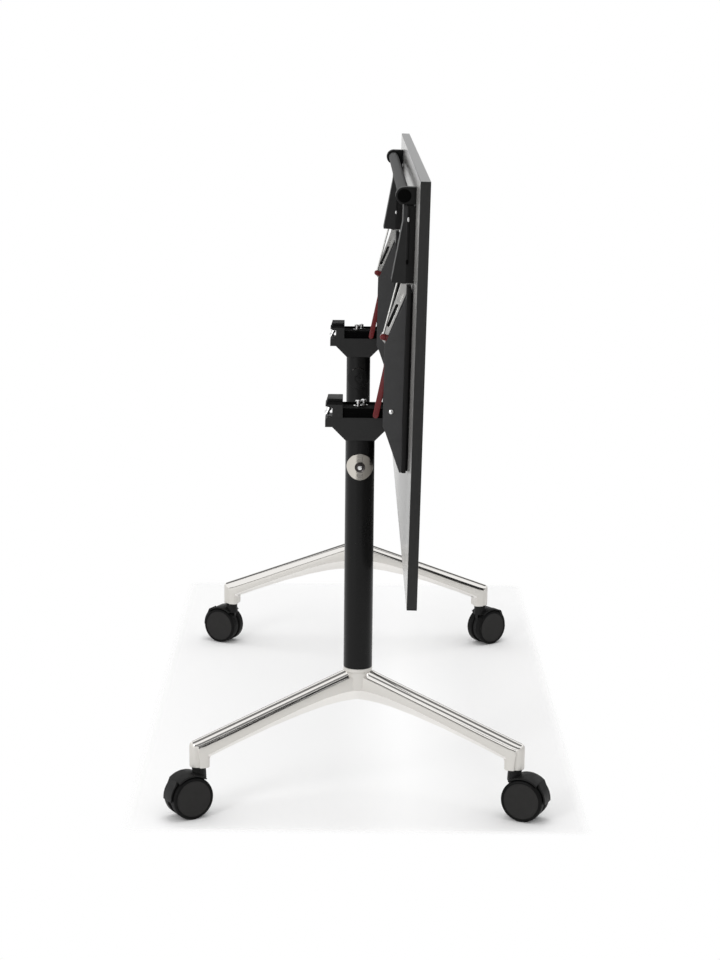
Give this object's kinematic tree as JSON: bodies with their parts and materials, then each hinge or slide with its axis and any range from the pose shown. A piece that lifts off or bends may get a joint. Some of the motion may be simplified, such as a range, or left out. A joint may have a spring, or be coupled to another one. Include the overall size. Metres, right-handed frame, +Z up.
{
  "type": "flip top training table",
  "caption": "Oblong training table whose top flips up to park upright between splayed feet on braked casters, with a release bar along its front edge.",
  "frame": {"origin": "on the floor under the middle of the table", "axes": "+X along the table's length, -Y towards the user's side with the release handle, +Z up"},
  "size_m": [1.4, 0.67, 1.1064],
  "materials": {
    "laminate": "matt melamine",
    "edging": "satin",
    "black_steel": "satin powder coat",
    "grey_steel": "satin powder coat",
    "black_plastic": "fine grain",
    "black_rubber": "matt",
    "aluminium": "polished on top, satin at the sides",
    "nickel": "satin nickel",
    "chrome": "bright",
    "zinc": "bright zinc",
    "red_paint": "satin"
  },
  "bodies": {
    "base": {"foot_right": "aluminium", "column_right": "black_steel", "link_disc_right": "nickel", "link_disc_screw_right": "chrome", "head_right": "black_plastic", "rest_pad_right": "black_rubber", "catch_stud_right": "chrome", "foot_left": "aluminium", "column_left": "black_steel", "link_disc_left": "black_steel", "link_disc_screw_left": "black_steel", "head_left": "black_plastic", "rest_pad_left": "black_rubber", "catch_stud_left": "chrome"},
    "worktop": {"worktop_board": "laminate", "edge_band_front": "edging", "edge_band_rear": "edging", "edge_band_right": "edging", "edge_band_left": "edging", "channel_right": "black_steel", "pivot_bolt_right": "chrome", "pawl_pin_right": "zinc", "pawl_guide_right": "zinc", "lever_housing_right": "black_plastic", "lever_pin_right": "chrome", "channel_left": "black_steel", "pivot_bolt_left": "chrome", "pawl_pin_left": "zinc", "pawl_guide_left": "zinc", "lever_housing_left": "black_plastic", "lever_pin_left": "chrome", "side_plate_right_inner": "grey_steel", "side_plate_right_outer": "grey_steel", "side_plate_left_inner": "grey_steel", "side_plate_left_outer": "grey_steel"},
    "handle": {"handle_tube": "black_steel", "handle_lever_right": "black_plastic", "handle_plug_right": "black_plastic", "handle_lever_left": "black_plastic", "handle_plug_left": "black_plastic"},
    "pawl_right": {"pawl_right": "red_paint"},
    "pull_rod_right": {"pull_rod_right": "zinc"},
    "pawl_left": {"pawl_left": "red_paint"},
    "pull_rod_left": {"pull_rod_left": "zinc"},
    "caster_front_right": {"caster_body_front_right": "black_plastic"},
    "caster_wheel_a_front_right": {"caster_wheel_a_front_right": "black_rubber"},
    "caster_wheel_b_front_right": {"caster_wheel_b_front_right": "black_rubber"},
    "caster_pedal_front_right": {"caster_pedal_front_right": "black_plastic"},
    "caster_rear_right": {"caster_body_rear_right": "black_plastic"},
    "caster_wheel_a_rear_right": {"caster_wheel_a_rear_right": "black_rubber"},
    "caster_wheel_b_rear_right": {"caster_wheel_b_rear_right": "black_rubber"},
    "caster_pedal_rear_right": {"caster_pedal_rear_right": "black_plastic"},
    "caster_front_left": {"caster_body_front_left": "black_plastic"},
    "caster_wheel_a_front_left": {"caster_wheel_a_front_left": "black_rubber"},
    "caster_wheel_b_front_left": {"caster_wheel_b_front_left": "black_rubber"},
    "caster_pedal_front_left": {"caster_pedal_front_left": "black_plastic"},
    "caster_rear_left": {"caster_body_rear_left": "black_plastic"},
    "caster_wheel_a_rear_left": {"caster_wheel_a_rear_left": "black_rubber"},
    "caster_wheel_b_rear_left": {"caster_wheel_b_rear_left": "black_rubber"},
    "caster_pedal_rear_left": {"caster_pedal_rear_left": "black_plastic"}
  },
  "joints": [
    {"name": "top_flip", "type": "hinge", "parent": "base", "child": "worktop", "pos_m": [0, 0.052, 0.704], "axis": [1, 0, 0], "range_deg": [0, 91]},
    {"name": "release_handle", "type": "hinge", "parent": "worktop", "child": "handle", "pos_m": [0, 0.07669, 1.02962], "axis": [1, 0, 0], "range_deg": [0, 4.5], "stiffness_Nm_per_rad": 4, "springref_deg": -2.86},
    {"name": "pawl_right_turn", "type": "hinge", "parent": "worktop", "child": "pawl_right", "pos_m": [0.505, 0.05261, 0.82501], "axis": [-1, 0, 0], "range_deg": [0, 8]},
    {"name": "pull_rod_right_turn", "type": "hinge", "parent": "pawl_right", "child": "pull_rod_right", "pos_m": [0.505, 0.03622, 0.8313], "axis": [-1, 0, 0], "range_deg": [-8, 0]},
    {"name": "pawl_left_turn", "type": "hinge", "parent": "worktop", "child": "pawl_left", "pos_m": [-0.447, 0.05261, 0.82501], "axis": [-1, 0, 0], "range_deg": [0, 8]},
    {"name": "pull_rod_left_turn", "type": "hinge", "parent": "pawl_left", "child": "pull_rod_left", "pos_m": [-0.447, 0.03622, 0.8313], "axis": [-1, 0, 0], "range_deg": [-8, 0]},
    {"name": "swivel_front_right", "type": "hinge", "parent": "base", "child": "caster_front_right", "pos_m": [0.556, -0.273, 0.088], "axis": [0, 0, 1], "continuous": true},
    {"name": "wheel_a_front_right_roll", "type": "hinge", "parent": "caster_front_right", "child": "caster_wheel_a_front_right", "pos_m": [0.566, -0.29032, 0.0375], "axis": [-0.866, -0.5, 0], "continuous": true},
    {"name": "wheel_b_front_right_roll", "type": "hinge", "parent": "caster_front_right", "child": "caster_wheel_b_front_right", "pos_m": [0.566, -0.29032, 0.0375], "axis": [-0.866, -0.5, 0], "continuous": true},
    {"name": "pedal_front_right_press", "type": "hinge", "parent": "caster_front_right", "child": "caster_pedal_front_right", "pos_m": [0.566, -0.29032, 0.0375], "axis": [0.866, 0.5, 0], "range_deg": [0, 12]},
    {"name": "swivel_rear_right", "type": "hinge", "parent": "base", "child": "caster_rear_right", "pos_m": [0.556, 0.273, 0.088], "axis": [0, 0, 1], "continuous": true},
    {"name": "wheel_a_rear_right_roll", "type": "hinge", "parent": "caster_rear_right", "child": "caster_wheel_a_rear_right", "pos_m": [0.56414, 0.29127, 0.0375], "axis": [0.9135, -0.4067, 0], "continuous": true},
    {"name": "wheel_b_rear_right_roll", "type": "hinge", "parent": "caster_rear_right", "child": "caster_wheel_b_rear_right", "pos_m": [0.56414, 0.29127, 0.0375], "axis": [0.9135, -0.4067, 0], "continuous": true},
    {"name": "pedal_rear_right_press", "type": "hinge", "parent": "caster_rear_right", "child": "caster_pedal_rear_right", "pos_m": [0.56414, 0.29127, 0.0375], "axis": [-0.9135, 0.4067, 0], "range_deg": [0, 12]},
    {"name": "swivel_front_left", "type": "hinge", "parent": "base", "child": "caster_front_left", "pos_m": [-0.556, -0.273, 0.088], "axis": [0, 0, 1], "continuous": true},
    {"name": "wheel_a_front_left_roll", "type": "hinge", "parent": "caster_front_left", "child": "caster_wheel_a_front_left", "pos_m": [-0.56539, -0.29066, 0.0375], "axis": [-0.8829, 0.4695, 0], "continuous": true},
    {"name": "wheel_b_front_left_roll", "type": "hinge", "parent": "caster_front_left", "child": "caster_wheel_b_front_left", "pos_m": [-0.56539, -0.29066, 0.0375], "axis": [-0.8829, 0.4695, 0], "continuous": true},
    {"name": "pedal_front_left_press", "type": "hinge", "parent": "caster_front_left", "child": "caster_pedal_front_left", "pos_m": [-0.56539, -0.29066, 0.0375], "axis": [0.8829, -0.4695, 0], "range_deg": [0, 12]},
    {"name": "swivel_rear_left", "type": "hinge", "parent": "base", "child": "caster_rear_left", "pos_m": [-0.556, 0.273, 0.088], "axis": [0, 0, 1], "continuous": true},
    {"name": "wheel_a_rear_left_roll", "type": "hinge", "parent": "caster_rear_left", "child": "caster_wheel_a_rear_left", "pos_m": [-0.56804, 0.28897, 0.0375], "axis": [0.7986, 0.6018, 0], "continuous": true},
    {"name": "wheel_b_rear_left_roll", "type": "hinge", "parent": "caster_rear_left", "child": "caster_wheel_b_rear_left", "pos_m": [-0.56804, 0.28897, 0.0375], "axis": [0.7986, 0.6018, 0], "continuous": true},
    {"name": "pedal_rear_left_press", "type": "hinge", "parent": "caster_rear_left", "child": "caster_pedal_rear_left", "pos_m": [-0.56804, 0.28897, 0.0375], "axis": [-0.7986, -0.6018, 0], "range_deg": [0, 12]}
  ],
  "couplings": [
    {"joint": "pawl_right_turn", "follows": "release_handle", "ratio": 1.75},
    {"joint": "pull_rod_right_turn", "follows": "release_handle", "ratio": -1.75},
    {"joint": "pawl_left_turn", "follows": "release_handle", "ratio": 1.75},
    {"joint": "pull_rod_left_turn", "follows": "release_handle", "ratio": -1.75}
  ]
}
